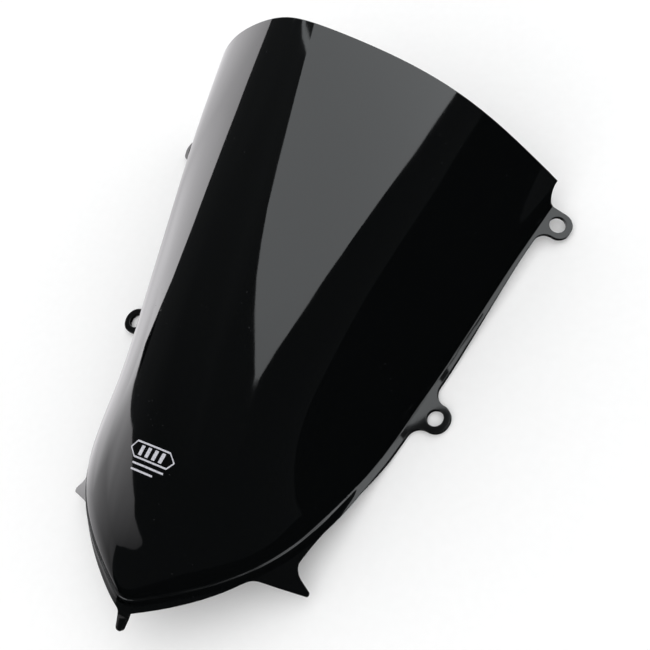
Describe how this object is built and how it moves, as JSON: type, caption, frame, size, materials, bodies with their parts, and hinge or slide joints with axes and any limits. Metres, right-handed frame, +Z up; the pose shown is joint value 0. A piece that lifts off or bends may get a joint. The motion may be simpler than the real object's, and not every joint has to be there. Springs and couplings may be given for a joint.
{
  "type": "motorcycle windshield screen",
  "caption": "Domed gloss black racing windscreen with a joggled front flange, drilled mounting ears, pointed locating tabs and a small printed nose badge.",
  "frame": {"origin": "on the floor plane under the middle of the bounding box, the screen lying convex side up on its four ears", "axes": "+X to the rider's left and right alike (the screen is symmetric about X = 0), nose toward -Y, rear edge toward +Y, +Z up out of the convex side"},
  "size_m": [0.2916, 0.3376, 0.1461],
  "materials": {
    "black_acrylic": "polished near-black acrylic sheet, glossy on both faces, with satin cut edges",
    "badge_print": "light grey printed ink"
  },
  "bodies": {
    "root": {"screen_panel": "black_acrylic", "badge_outline": "badge_print", "badge_bar_1": "badge_print", "badge_bar_2": "badge_print", "badge_bar_3": "badge_print", "badge_bar_4": "badge_print", "badge_caption_1": "badge_print", "badge_caption_2": "badge_print"}
  },
  "joints": []
}
